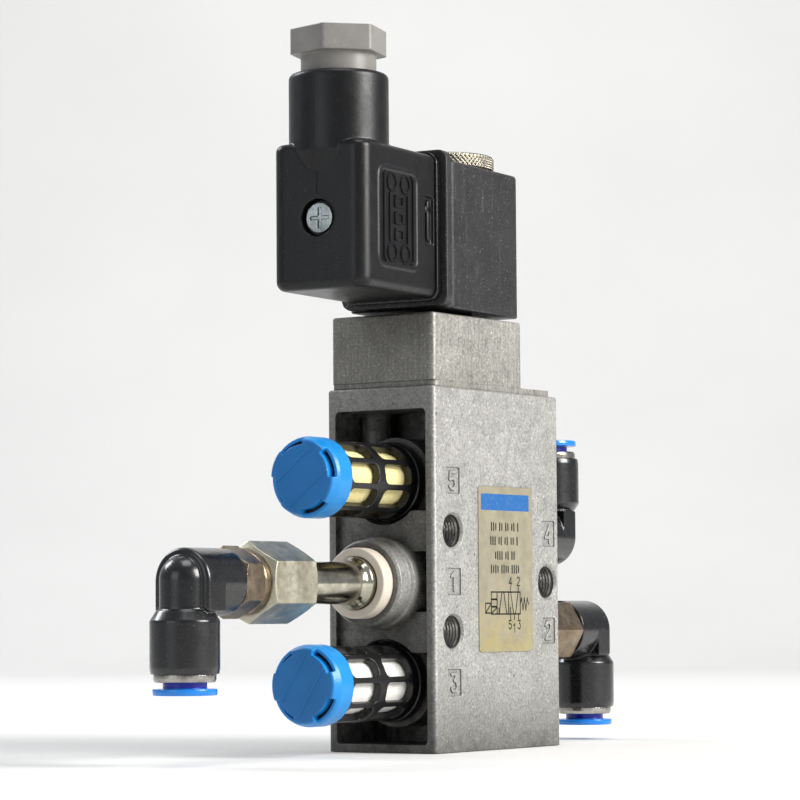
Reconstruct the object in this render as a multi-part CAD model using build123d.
from build123d import *
import math
import os

# Solenoid valve, 26 mm body, with two screw-in pneumatic mufflers, an
# extension adaptor and three swivel elbow fittings.
# Millimetres. Origin: centre of the body's bottom face. +Z runs up the spool
# axis to the coil, -Y is the face with ports 5, 1 and 3, +X is the label face.

# ---------------------------------------------------------------- dimensions
BODY_HX = 13.0            # half width of the body
BODY_HY = 24.0            # half depth of the body
BODY_H = 73.4             # height of the body
POCKET_HX = 11.0          # front and rear pockets
POCKET_Z0, POCKET_Z1 = 1.6, 68.9
FRONT_FLOOR_Y = -6.0
REAR_FLOOR_Y = 13.0
Z5, Z4, Z1, Z2, Z3 = 54.5, 44.35, 33.9, 24.05, 13.9   # port axes
ZM = 34.2                 # rear mounting hole
TUBE_R = 10.5             # spool tube seen in the pocket
BORE_R = 6.0              # spool bore
GALLERY_R, GALLERY_W = 7.8, 5.0
THREAD_BORE_R = 4.9       # G1/8 port bore
THREAD_R = 4.85           # G1/8 male thread envelope
THREAD_PITCH = 0.907
BOSS_R = 9.0
BOSS_53_Y = -18.6         # seat of ports 5 and 3
BOSS_1_Y = -30.0          # seat of port 1
MOUNT_R = 3.3             # through holes across the body
SPOOL_STROKE = 3.0

HEAD_Z0, HEAD_Z1 = 74.6, 88.3
COIL_TURN = 5.0           # degrees, how the coil stands on its stem
COIL_HX, COIL_Y0, COIL_Y1 = 12.05, -19.0, 11.3
COIL_Z0, COIL_Z1 = 89.35, 119.5
PLUG_HX, PLUG_Y0, PLUG_Y1 = 10.6, -52.1, -23.4
PLUG_Z0, PLUG_Z1 = 91.0, 120.0
GLAND_Y = -43.4
NECK_R, NECK_TOP = 9.9, 134.2
GLAND_AF = 17.0
SCREW_Z = 105.0

CAP_FRONT_Y = -51.4       # muffler cap
CAP_R = 8.03
CAGE_R = 7.6
WINDOWS = 9

ELBOW_BARREL_R = 6.4
SOCKET_R = 6.55
TUBE_OD = 6.0

os.makedirs("parts", exist_ok=True)

MIN = (Align.CENTER, Align.CENTER, Align.MIN)


# ------------------------------------------------------------------- helpers
def cz(r, z0, z1, x=0.0, y=0.0):
    return Pos(x, y, z0) * Cylinder(r, z1 - z0, align=MIN)


def cy(r, y0, y1, x=0.0, z=0.0):
    return Pos(x, y0, z) * Rot(-90, 0, 0) * Cylinder(r, y1 - y0, align=MIN)


def cx(r, x0, x1, y=0.0, z=0.0):
    return Pos(x0, y, z) * Rot(0, 90, 0) * Cylinder(r, x1 - x0, align=MIN)


def bx(x0, x1, y0, y1, z0, z1):
    return Pos((x0 + x1) / 2, (y0 + y1) / 2, (z0 + z1) / 2) * Box(
        x1 - x0, y1 - y0, z1 - z0)


def prism(points, z0, z1):
    face = make_face(Polyline(*[(p[0], p[1]) for p in points], close=True))
    return Pos(0, 0, z0) * extrude(face, amount=z1 - z0)


def hex_z(af, z0, z1, x=0.0, y=0.0, turn=0.0, chamf=0.0):
    rc = af / 2 / math.cos(math.radians(30))
    pts = [(x + rc * math.cos(math.radians(turn + 60 * k)),
            y + rc * math.sin(math.radians(turn + 60 * k))) for k in range(6)]
    s = prism(pts, z0, z1)
    if chamf:
        lim = cz(rc, z0, z1, x, y)
        lim = chamfer(lim.edges().filter_by(GeomType.CIRCLE), chamf,
                      chamf * 1.7)
        s = s & lim
    return s


def revolved(profile, about="z"):
    """Solid of revolution; profile is a list of (radius, height)."""
    face = make_face(Polyline(*[(p[0], 0, p[1]) for p in profile], close=True))
    return revolve(face, Axis.Z, 360)


def along_y(shape, x=0.0, z=0.0):
    """Turn a +Z solid so that its axis is +Y through (x, z)."""
    return Pos(x, 0, z) * Rot(-90, 0, 0) * shape


def vertical_edges(s):
    return s.edges().filter_by(Axis.Z)


def torus_z(major, minor, z, x=0.0, y=0.0):
    return Pos(x, y, z) * Torus(major, minor)


def coil_spring(r, wire, z0, z1, turns):
    height = (z1 - z0) - 2 * wire
    path = Helix(pitch=height / turns, height=height, radius=r)
    path = Pos(0, 0, z0 + wire) * path
    sec = Plane(origin=path @ 0, z_dir=path % 0) * Circle(wire)
    return sweep(sec, path=path, is_frenet=True)


made = []


def put(name, shape):
    parts = shape.solids()
    shape = parts[0] if len(parts) == 1 else Compound(children=list(parts))
    made.append((name, shape))
    export_step(shape, "parts/" + name + ".step")


# ---------------------------------------------------------------- valve body
body = bx(-BODY_HX, BODY_HX, -BODY_HY, BODY_HY, 0, BODY_H)
body = fillet(vertical_edges(body), 0.9)
body = chamfer(body.faces().sort_by(Axis.Z)[-1].edges(), 0.35)

front_cut = bx(-POCKET_HX, POCKET_HX, -BODY_HY - 1, FRONT_FLOOR_Y,
               POCKET_Z0, POCKET_Z1)
front_cut = fillet(front_cut.edges().filter_by(Axis.Y), 1.0)
tube = cz(TUBE_R, POCKET_Z0 - 0.2, POCKET_Z1 + 0.2)
duct = cz(3.0, Z5 + 4, POCKET_Z1 + 0.2, -7.9, -13.6)
front_cut = front_cut - tube - duct
front_cut = front_cut - cy(BOSS_R, BOSS_53_Y, 0, 0, Z5)
front_cut = front_cut - cy(BOSS_R, BOSS_53_Y, 0, 0, Z3)
front_cut = front_cut - cy(BOSS_R + 0.3, -28.0, 0, 0, Z1)
for zc in (Z4, Z2):
    web = bx(-12, 12, -22.6, 0, zc - 4.1, zc + 4.1)
    front_cut = front_cut - web
body = body - front_cut

rear_cut = bx(-POCKET_HX, POCKET_HX, REAR_FLOOR_Y, BODY_HY + 1,
              POCKET_Z0, POCKET_Z1)
rear_cut = fillet(rear_cut.edges().filter_by(Axis.Y), 1.0)
for zc in (Z4, Z2):
    rear_cut = rear_cut - cy(BOSS_R, 0, BODY_HY, 0, zc)
rear_cut = rear_cut - bx(-12, 12, 0, BODY_HY - 0.8, ZM - 4.3, ZM + 4.3)
body = body - rear_cut

# port 1 stands out of the front face on a stepped boss
boss_1 = along_y(revolved([(0, -24.5), (BOSS_R + 0.3, -24.5),
                           (BOSS_R + 0.3, -25.6), (8.7, -26.2), (8.7, BOSS_1_Y + 0.5),
                           (8.2, BOSS_1_Y), (0, BOSS_1_Y)]), 0, Z1)
body = body + boss_1 + cy(BOSS_R + 0.3, -24.6, -10, 0, Z1)
# raised collar rings round ports 5 and 3
for zc in (Z5, Z3):
    body = body + cy(BOSS_R, BOSS_53_Y, -8, 0, zc)

# the webs are scooped out round the muffler seats
for zc in (Z5, Z3):
    body = body - cy(8.8, -BODY_HY - 1, BOSS_53_Y, 0, zc)

body = body - cz(7.45, -1, 4.0) - cz(BORE_R, 3.9, 65.5) - cz(8.0, 65.4, BODY_H + 1)
for zc in (Z5, Z4, Z1, Z2, Z3):
    body = body - cz(GALLERY_R, zc - GALLERY_W / 2, zc + GALLERY_W / 2)
for zc in (Z5, Z3):
    body = body - cy(THREAD_BORE_R, BOSS_53_Y - 1, -10.0, 0, zc) - cy(3.4, -10.1, -5, 0, zc)
body = body - cy(THREAD_BORE_R, BOSS_1_Y - 1, -19.0, 0, Z1) - cy(3.4, -19.1, -5, 0, Z1)
for zc in (Z4, Z2):
    body = body - cy(THREAD_BORE_R, 14.0, BODY_HY + 1, 0, zc) - cy(3.4, 5, 14.1, 0, zc)


def side_hole(yc, zc):
    """Through hole across the body with a 45 degree lead-in at each end."""
    return Pos(0, yc, zc) * Rot(0, 90, 0) * revolved([
        (0, -BODY_HX - 0.5), (MOUNT_R + 1.0, -BODY_HX - 0.5),
        (MOUNT_R + 0.5, -BODY_HX), (MOUNT_R, -BODY_HX + 0.5),
        (MOUNT_R, BODY_HX - 0.5), (MOUNT_R + 0.5, BODY_HX),
        (MOUNT_R + 1.0, BODY_HX + 0.5), (0, BODY_HX + 0.5)])


for yc, zc in ((-17.2, Z4), (-17.2, Z2), (19.1, ZM)):
    body = body - side_hole(yc, zc)

# head screw holes in the top wall
HEAD_SCREWS = ((-8.6, -19.6), (8.6, -19.6), (-8.6, 6.9), (8.6, 6.9))
for xs, ys in HEAD_SCREWS:
    body = body - cz(1.5, 69.9, BODY_H + 1, xs, ys)

# port numerals: a sunk square with the figure left standing in it
STROKES = {
    "1": [[(-0.75, 1.0), (0.15, 1.7), (0.15, -1.7)]],
    "2": [[(-1.0, 1.05), (-0.55, 1.7), (0.55, 1.7), (1.0, 1.1), (0.9, 0.4),
           (-1.0, -1.7), (1.05, -1.7)]],
    "3": [[(-0.95, 1.7), (1.0, 1.7), (0.1, 0.45), (0.7, 0.3), (1.05, -0.4),
           (1.0, -1.1), (0.5, -1.7), (-0.5, -1.7), (-1.0, -1.2)]],
    "4": [[(0.55, -1.75), (0.55, 1.75), (-1.05, -0.75), (1.15, -0.75)]],
    "5": [[(0.95, 1.7), (-0.8, 1.7), (-0.95, 0.25), (0.2, 0.45), (0.95, 0.0),
           (1.0, -0.9), (0.5, -1.65), (-0.4, -1.7), (-1.0, -1.2)]],
}


def stroke(p, q, w, t):
    """Round-ended bar from p to q, width w, lying in XY with height t."""
    dx, dy = q[0] - p[0], q[1] - p[1]
    length = math.hypot(dx, dy)
    bar = Pos((p[0] + q[0]) / 2, (p[1] + q[1]) / 2, 0) * Rot(
        0, 0, math.degrees(math.atan2(dy, dx))) * Box(
            length, w, t, align=MIN)
    return bar + Pos(p[0], p[1], 0) * Cylinder(w / 2, t, align=MIN) + Pos(
        q[0], q[1], 0) * Cylinder(w / 2, t, align=MIN)


def numeral(fig, yc, zc, side):
    """Sunk square for one numeral on the +X (side 1) or -X face."""
    deep = 0.22
    square = Box(5.0, 5.4, deep, align=MIN)
    square = fillet(square.edges().filter_by(Axis.Z), 0.35)
    for line in STROKES[fig]:
        for p, q in zip(line[:-1], line[1:]):
            square = square - Pos(0, 0, -0.01) * stroke(p, q, 0.62, deep + 0.02)
    if side > 0:
        at = Plane(origin=(BODY_HX - deep, yc, zc), x_dir=(0, 1, 0), z_dir=(1, 0, 0))
    else:
        at = Plane(origin=(-BODY_HX + deep, yc, zc), x_dir=(0, -1, 0), z_dir=(-1, 0, 0))
    return at.location * square


NUMERALS = (("5", -17.1, Z5), ("1", -16.9, ZM), ("3", -17.0, Z3),
            ("4", 19.7, Z4), ("2", 19.5, Z2))
for fig, yc, zc in NUMERALS:
    for side in (1, -1):
        body = body - numeral(fig, yc, zc, side)
put("valve_body", body)

# name plate: a thin foil on the +X face, blank
plate = bx(BODY_HX, BODY_HX + 0.15, -7.8, 12.9, 19.9, 53.7)
plate = fillet(plate.edges().filter_by(Axis.X), 0.8)
put("label_plate", plate)

# --------------------------------------------------------------- bottom plug
cap = cz(7.45, 0, 3.8)
cap = cap - cz(2.7, 3.0, 4.5) - cz(0.9, -0.1, 1.6, 4.3, 0) - cz(0.9, -0.1, 1.6, -4.3, 0)
cap = cap - (cz(8, 2.0, 3.2) - cz(6.55, 1.9, 3.3))
put("bottom_cap", cap)
static_rings = cz(7.45, 2.05, 3.15) - cz(6.55, 2.0, 3.2)

# --------------------------------------------------------------------- spool
SEALS = (61.2, 54.6, 37.1, 34.3, 16.8, 9.6)
sp = cz(3.5, 7.6, 64.0) + cz(3.0, 63.9, 68.6)
for zc in SEALS:
    sp = sp + cz(5.93, zc - 1.5, zc + 1.5)
sp = sp + cz(5.0, 35.0, 36.4)
for zc in SEALS:
    sp = sp - (cz(6.5, zc - 0.9, zc + 0.9) - cz(4.3, zc - 1.0, zc + 1.0))
sp = sp - cz(2.55, 7.0, 17.0)
put("spool", sp)
rings = None
for zc in SEALS:
    ring = torus_z(5.13, 0.83, zc)
    rings = ring if rings is None else rings + ring
put("spool_seals", rings)
put("return_spring", coil_spring(2.05, 0.32, 3.0, 17.0, 9))
piston = cz(7.93, 68.6, 72.4) - cz(3.2, 70.8, 73)
piston = piston - (cz(9, 69.6, 71.2) - cz(6.3, 69.5, 71.3))
piston = chamfer(piston.edges().filter_by(GeomType.CIRCLE).sort_by(Axis.Z)[-1], 0.3)
put("pilot_piston", piston)
put("piston_seal", torus_z(7.1, 0.8, 70.4))

# ---------------------------------------------------------------- pilot head
end = bx(-12.6, 12.6, -23.2, 22.0, BODY_H, HEAD_Z0)
end = fillet(vertical_edges(end), 1.6) - cz(1.2, 70, 76)
for xs, ys in HEAD_SCREWS:
    end = end - cz(1.6, 70, 76, xs, ys)
put("end_plate", end)

head = bx(-12.4, 12.6, -23.3, 10.5, HEAD_Z0, HEAD_Z1)
head = fillet(vertical_edges(head), 1.0)
head = fillet(head.faces().sort_by(Axis.Z)[-1].edges(), 0.5)
head = head - cz(6.85, 84.3, 90) - cz(3.9, 83.5, 84.4) + cz(1.3, 83.4, 84.2)
head = head - cz(0.5, 80.0, 84.5) - cz(0.8, 74, 83.6, 0, -2.6) - cy(0.8, -2.6, 0.6, 0, 80.6)
head = head - cy(2.6, 3.0, 12.0, 0, 79.4)
for xs, ys in HEAD_SCREWS:
    head = head - cz(1.6, 70, 90, xs, ys) - cz(2.85, 84.8, 90, xs, ys)
put("pilot_head", head)

screws = None
for xs, ys in HEAD_SCREWS:
    s = cz(1.45, 70.1, 85.0, xs, ys) + cz(2.7, 84.8, 87.8, xs, ys)
    s = s - hex_z(2.5, 86.2, 88, xs, ys)
    screws = s if screws is None else screws + s
put("head_screws", screws)

# slotted turn button of the manual override, in the rear of the head
mo = cy(2.55, 3.6, 10.3, 0, 79.4)
mo = mo - bx(-2.0, 2.0, 9.4, 11.0, 79.0, 79.8)
mo = mo - (cy(3.0, 5.2, 6.2, 0, 79.4) - cy(2.1, 5.1, 6.3, 0, 79.4))
put("manual_override", mo)
put("override_oring", cy(2.55, 5.25, 6.15, 0, 79.4) - cy(2.1, 5.2, 6.2, 0, 79.4))

# ----------------------------------------------------------- armature system
at = cz(6.8, 85.3, HEAD_Z1) + cz(4.9, 84.4, 85.4) + cz(4.5, HEAD_Z1 - 0.1, 113.0)
at = at + cz(4.0, 112.9, 122.6)
at = chamfer(at.edges().filter_by(GeomType.CIRCLE).sort_by(Axis.Z)[-1], 0.5)
at = at - cz(3.9, 84.0, 106.0)
put("armature_tube", at)
static_rings = static_rings + (cz(5.85, 84.4, 85.2) - cz(4.95, 84.3, 85.3))
arm = cz(3.84, 84.95, 104.4) - cz(2.0, 84.0, 86.6) - cz(2.3, 96.4, 105)
arm = arm - bx(-0.4, 0.4, -4.2, -3.3, 84, 105) - bx(-0.4, 0.4, 3.3, 4.2, 84, 105)
put("armature", arm)
put("armature_seal", cz(2.0, 84.45, 86.6))
put("armature_spring", coil_spring(1.85, 0.26, 96.4, 106.0, 7))

# ---------------------------------------------------------------- coil block
turn = Rot(0, 0, COIL_TURN)
coil = bx(-COIL_HX, COIL_HX, COIL_Y0, COIL_Y1, COIL_Z0, COIL_Z1)
coil = fillet(vertical_edges(coil), 1.6)
coil = fillet(coil.faces().sort_by(Axis.Z)[-1].edges(), 0.8)
flange = bx(-COIL_HX - 0.25, COIL_HX + 0.25, -21.4, COIL_Y0 + 0.2, 89.6, 121.4)
flange = fillet(flange.edges().filter_by(Axis.Y), 2.2)
flange = chamfer(flange.faces().sort_by(Axis.Y)[-1].edges(), 0.5)
coil = coil + flange
yoke = bx(-9.4, 9.4, -10.4, 8.0, 89.95, 91.95)
yoke = yoke + bx(-9.4, 9.4, -10.4, 8.0, 116.6, 118.6)
yoke = yoke + bx(-9.4, 9.4, 8.0, 10.0, 89.95, 118.6)
winding = cz(7.9, 92.6, 116.0) - cz(5.7, 92.0, 117.0)
core_hole = cz(4.6, 88, 121)
coil = coil - yoke - winding - core_hole
yoke = yoke - cz(4.6, 88, 121)
pins = bx(-5.65, -4.85, -31.5, -17.0, 102.2, 107.8)
pins = pins + bx(4.85, 5.65, -31.5, -17.0, 102.2, 107.8)
pins = pins + bx(-2.8, 2.8, -31.5, -17.0, 95.6, 96.4)
coil = coil - pins - cy(1.6, -22, -15.0, 0, SCREW_Z)
put("coil_housing", turn * coil)
put("coil_yoke", turn * yoke)
put("coil_winding", turn * winding)
put("coil_pins", turn * pins)
static_rings = static_rings + torus_z(5.6, 0.48, 88.83)

nut = cz(10.7, 119.65, 122.9)
nut = fillet(nut.edges().filter_by(GeomType.CIRCLE), 0.7)
nut = nut - cz(4.05, 119, 123.5) - cz(6.2, 122.3, 123.5)
put("coil_nut", nut)

# ------------------------------------------------------------- connector plug
gasket = bx(-11.1, 11.1, PLUG_Y1, -21.4, 90.5, 120.6)
gasket = fillet(gasket.edges().filter_by(Axis.Y), 2.4)
gasket = gasket - pins - cy(1.7, -25, -20, 0, SCREW_Z)
put("plug_gasket", turn * gasket)

plug = bx(-PLUG_HX, PLUG_HX, PLUG_Y0, PLUG_Y1, PLUG_Z0, PLUG_Z1)
plug = fillet(plug.edges().filter_by(Axis.Z).sort_by(Axis.Y)[:2], 3.0)
plug = fillet(plug.faces().sort_by(Axis.Z)[0].edges().group_by(Axis.Y)[0]
              + plug.faces().sort_by(Axis.Z)[0].edges().filter_by(Axis.Y), 1.9)
plug = fillet(plug.faces().sort_by(Axis.Z)[-1].edges().group_by(Axis.Y)[0]
              + plug.faces().sort_by(Axis.Z)[-1].edges().filter_by(Axis.Y), 1.4)
plug = plug + cz(NECK_R, 118.4, NECK_TOP, 0, GLAND_Y)
# slope that carries the neck into the front face
plug = plug + loft([Pos(0, GLAND_Y, 118.4) * Circle(NECK_R),
                    Pos(0, GLAND_Y + 1.9, 105.5) * Circle(NECK_R - 1.5)])
plug = fillet(plug.edges().filter_by(GeomType.CIRCLE).sort_by(Axis.Z)[-1], 1.1)
inner = bx(-8.6, 8.6, -48.9, PLUG_Y1 + 1, 93.2, 117.6)
inner = inner - bx(-3.2, 3.2, -50, -36.6, 102.0, 108.0)
plug = plug - inner - cz(5.2, 117.0, 121, 0, GLAND_Y) - cz(7.5, 119.9, 140, 0, GLAND_Y)
plug = plug - cy(3.7, PLUG_Y0 - 2, -50.2, 0, SCREW_Z) - cy(1.6, -53, -20, 0, SCREW_Z)
# catch recess and a thin raised frame on each side
for sx in (1, -1):
    plug = plug - bx(min(sx * 9.9, sx * 12), max(sx * 9.9, sx * 12), -27.4, -23.9, 101.6, 111.2)
    rim = bx(min(sx * 10.5, sx * 10.85), max(sx * 10.5, sx * 10.85),
             -46.6, -30.4, 95.6, 115.4)
    rim = fillet(rim.edges().filter_by(Axis.X), 2.2)
    hollow = bx(min(sx * 10.4, sx * 11), max(sx * 10.4, sx * 11),
                -46.0, -31.0, 96.2, 114.8)
    hollow = fillet(hollow.edges().filter_by(Axis.X), 1.7)
    plug = plug + (rim - hollow)
put("plug_housing", turn * plug)

insert = bx(-8.5, 8.5, -36.5, PLUG_Y1, 93.3, 117.5)
insert = fillet(insert.edges().filter_by(Axis.Y), 0.6)
insert = insert - cy(1.7, -40, -20, 0, SCREW_Z)
term = None
for xc, zc, vert in ((-5.25, 105.0, True), (5.25, 105.0, True), (0.0, 96.0, False)):
    if vert:
        t = bx(xc - 1.9, xc + 1.9, -36.0, -25.4, zc - 3.4, zc + 3.4)
    else:
        t = bx(xc - 3.4, xc + 3.4, -36.0, -25.4, zc - 1.9, zc + 1.9)
    term = t if term is None else term + t
insert = insert - term - pins
term = term - pins
tscrews = None
for xc, zc in ((-5.25, 105.0), (5.25, 105.0), (0.0, 96.0)):
    s = cy(1.2, -37.6, -33.0, xc, zc) + cy(1.7, -38.6, -37.5, xc, zc)
    s = s - bx(xc - 0.25, xc + 0.25, -39, -38.1, zc - 2, zc + 2)
    tscrews = s if tscrews is None else tscrews + s
    term = term - cy(1.2, -37.6, -33.0, xc, zc)
    insert = insert - cy(1.2, -37.6, -33.0, xc, zc)
put("contact_insert", turn * insert)
put("terminals", turn * term)
put("terminal_screws", turn * tscrews)

screw = cy(1.5, -50.2, -15.6, 0, SCREW_Z) + cy(2.95, -51.4, -50.2, 0, SCREW_Z)
screw = screw - bx(-2.1, 2.1, -52, -50.8, SCREW_Z - 0.35, SCREW_Z + 0.35)
screw = screw - bx(-0.35, 0.35, -52, -50.8, SCREW_Z - 2.1, SCREW_Z + 2.1)
put("plug_screw", turn * screw)

gnut = hex_z(GLAND_AF, 138.0, 143.1, 0, GLAND_Y, -19.1)
gnut = fillet(vertical_edges(gnut), 1.0)
gnut = gnut + cz(7.5, 128.2, 138.2, 0, GLAND_Y) - cz(4.6, 128, 147, 0, GLAND_Y)
put("gland_nut", turn * gnut)
put("gland_washer", turn * (cz(7.2, 127.0, 128.2, 0, GLAND_Y) - cz(4.6, 126, 129, 0, GLAND_Y)))
put("gland_seal", turn * (cz(7.4, 119.9, 127.0, 0, GLAND_Y) - cz(3.4, 119, 128, 0, GLAND_Y)))


# ------------------------------------------------------------------- mufflers
def muffler(name, zc, bar_phase, slot_phase):
    # cage: threaded stub, seat flange, ribbed barrel
    cage = cy(8.0, -21.6, -19.4, 0, 0) + cy(7.4, -19.5, BOSS_53_Y, 0, 0)
    cage = cage + cy(THREAD_R, BOSS_53_Y - 0.1, -11.0)
    cage = cage + cy(CAGE_R, -49.2, -21.5)
    cage = chamfer(cage.edges().filter_by(GeomType.CIRCLE).sort_by(Axis.Y)[-1], 0.6)
    cage = cage - cy(5.9, -50, -22.6) - cy(3.3, -23, -10)
    win = bx(5.2, 9.0, -44.6, -35.2, -2.0, 2.0) + bx(5.2, 9.0, -32.9, -23.9, -2.0, 2.0)
    win = fillet(win.edges().filter_by(Axis.X), 1.3)
    for k in range(WINDOWS):
        ang = bar_phase + 20 + 40 * k
        cage = cage - Rot(0, -ang, 0) * win
    # front end closed by a spider with four slots under the cap
    put(name + "_body", Pos(0, 0, zc) * cage)
    # sintered insert tube, blind at the front
    ins = cy(5.8, -48.9, -22.65) - cy(3.3, -46.5, -22.0)
    put(name + "_insert", Pos(0, 0, zc) * ins)
    # snap-on cap: skirt, conical shoulder, four arc slots in recesses
    c = along_y(revolved([(0, CAP_FRONT_Y), (7.1, CAP_FRONT_Y), (7.45, CAP_FRONT_Y + 0.35),
                          (CAP_R, -49.3), (CAP_R, -45.2), (CAGE_R + 0.02, -45.2),
                          (CAGE_R + 0.02, -49.3), (0, -49.3)]))
    ring = cy(7.1, -52, -49.0) - cy(6.35, -52.1, -48.9)
    step = cy(9.0, -52, -50.15) - cy(6.35, -52.1, -50.1)
    for k in range(4):
        a0 = slot_phase + 90 * k
        wedge = make_face(Polyline((0, 0), (20 * math.cos(math.radians(-24)), 20 * math.sin(math.radians(-24))),
                                   (20 * math.cos(math.radians(24)), 20 * math.sin(math.radians(24))), close=True))
        wedge = extrude(wedge, amount=6)
        wedge = Pos(0, -47, 0) * Rot(90, 0, 0) * Rot(0, 0, a0) * wedge
        c = c - ((ring + step) & wedge)
    put(name + "_cap", Pos(0, 0, zc) * c)


muffler("muffler_5", Z5, 27.5, 22.5)
muffler("muffler_3", Z3, 7.0, 46.5)

# ---------------------------------------------------------- port 1 extension
seal = cy(7.1, -33.3, BOSS_1_Y, 0, Z1) - cy(5.3, -34, -29, 0, Z1)
seal = fillet(seal.edges().filter_by(GeomType.CIRCLE).sort_by(Axis.Y)[:2], 0.35)
put("port_1_seal_ring", seal)

ext = along_y(revolved([(2.5, -69.6), (6.3, -69.6), (6.3, -56.0), (4.2, -56.0),
                        (4.2, -36.4), (4.5, -35.2), (5.2, -34.4), (5.2, BOSS_1_Y),
                        (THREAD_R, BOSS_1_Y), (THREAD_R, -21.0), (4.4, -20.5),
                        (2.5, -20.5)]), 0, Z1)
hexa = hex_z(13.8, -69.6, -55.2, 0, 0, 90, 0.9)
ext = ext + along_y(hexa, 0, Z1)
ext = ext - cy(THREAD_BORE_R, -71, -60.0, 0, Z1) - cy(2.5, -71, -20, 0, Z1)
put("extension_adaptor", ext)


# -------------------------------------------------------------------- elbows
def elbow(name, y0, hex_len, z_axis, out, arm, vertex_turn, up):
    """Swivel elbow. y0: seat plane, out: -1 or +1 along Y, arm: axis distance
    from the hexagon, up: +1 if the socket points up."""
    # local frame: +Z outward along the stem, socket towards local +X
    st = revolved([(2.5, -8.6), (4.5, -8.6), (THREAD_R, -8.2), (THREAD_R, 0), (6.2, 0),
                   (6.2, 1.6), (5.6, 2.0), (5.6, hex_len + 2.8), (4.0, hex_len + 2.8),
                   (4.0, hex_len + 8.6), (2.5, hex_len + 8.6)])
    hx = hex_z(12.0, 2.0, hex_len + 2.6, 0, 0, vertex_turn, 0.45)
    st = st + hx - cz(2.5, -10, hex_len + 10)
    og = cz(7, 0.0, 0.75) - cz(5.1, -0.1, 0.8)
    st = st - (cz(5.95, -0.1, 0.75) - cz(5.05, -0.2, 0.8))
    st = st - (cz(4.6, hex_len + 5.0, hex_len + 6.4) - cz(3.25, hex_len + 4.9, hex_len + 6.5))
    sto = (cz(5.9, 0.02, 0.7) - cz(5.1, 0, 0.8)) + torus_z(3.63, 0.38, hex_len + 5.7)

    b0 = hex_len + 2.9          # where the swivel housing starts
    ax = b0 + arm               # socket axis
    hs = cz(ELBOW_BARREL_R, b0, ax + 1.2)
    hs = hs + bx(0, 5.5, -ELBOW_BARREL_R, ELBOW_BARREL_R, ax - 4.2, ax + 1.2)
    top = hs.faces().sort_by(Axis.Z)[-1]
    hs = fillet(top.edges(), 0.9)
    col = cx(4.75, -0.4, 9.0, 0, 0) + Pos(-0.4, 0, 0) * Sphere(4.75)
    hs = hs + Pos(0, 0, ax) * col
    sock = Rot(0, 90, 0) * revolved([(0, 5.2), (5.3, 5.2), (SOCKET_R, 7.2),
                                     (SOCKET_R, 16.0), (6.35, 17.0), (0, 17.0)])
    hs = hs + Pos(0, 0, ax) * sock
    # bores
    hs = hs - cz(4.06, b0 - 1, hex_len + 8.8)
    hs = hs - cz(2.6, b0, ax)
    hs = hs - Pos(0, 0, ax) * (cx(2.6, 0, 6.2) + Sphere(2.6) + cx(3.1, 6.0, 18)
                               + cx(4.5, 9.6, 12.8) + cx(5.0, 12.8, 18))
    # metal ring pressed into the mouth of the socket
    sr = Rot(0, 90, 0) * revolved([(4.2, 13.6), (5.0, 13.6), (5.0, 17.0), (5.85, 17.0),
                                   (5.85, 17.9), (5.6, 18.5), (4.2, 18.5)])
    sr = Pos(0, 0, ax) * sr
    # grab ring: a flat ring with inclined teeth
    gr = Rot(0, 90, 0) * revolved([(4.4, 12.9), (4.95, 12.9), (4.95, 13.5), (4.55, 13.5),
                                   (3.25, 12.75), (3.3, 12.45)])
    gr = Pos(0, 0, ax) * gr
    for k in range(8):
        gr = gr - Pos(0, 0, ax) * Rot(45 * k, 0, 0) * bx(11.5, 14.5, -0.2, 0.2, 2.6, 4.4)
    ls = Rot(0, 90, 0) * revolved([(3.15, 9.8), (4.45, 9.8), (4.45, 12.2), (3.4, 12.2),
                                   (3.15, 11.4)])
    ls = Pos(0, 0, ax) * ls
    # release ring: thin sleeve with a flange
    rr = Rot(0, 90, 0) * revolved([(3.2, 14.4), (3.6, 14.4), (4.1, 14.9), (4.1, 19.7),
                                   (6.0, 19.7), (6.05, 20.3), (5.9, 20.9), (3.6, 20.9),
                                   (3.2, 20.5)])
    rr = Pos(0, 0, ax) * rr

    # place: local +Z -> out*Y, local +X -> up*Z
    at = Plane(origin=(0, y0, z_axis), x_dir=(0, 0, up), z_dir=(0, out, 0)).location
    put(name + "_stem", at * st)
    put(name + "_housing", at * hs)
    put(name + "_socket_ring", at * sr)
    put(name + "_grab_ring", at * gr)
    put(name + "_lip_seal", at * ls)
    put(name + "_release_ring", at * rr)
    return at * sto


so1 = elbow("elbow_1", -69.6, 4.9, Z1, -1, 11.0, 0, -1)
so4 = elbow("elbow_4", 24.0, 4.9, Z4, 1, 9.7, 0, 1)
so2 = elbow("elbow_2", 24.0, 18.1, Z2, 1, 10.8, 90, -1)
put("static_orings", static_rings + so1 + so4 + so2)

print(len(made), "nodes")
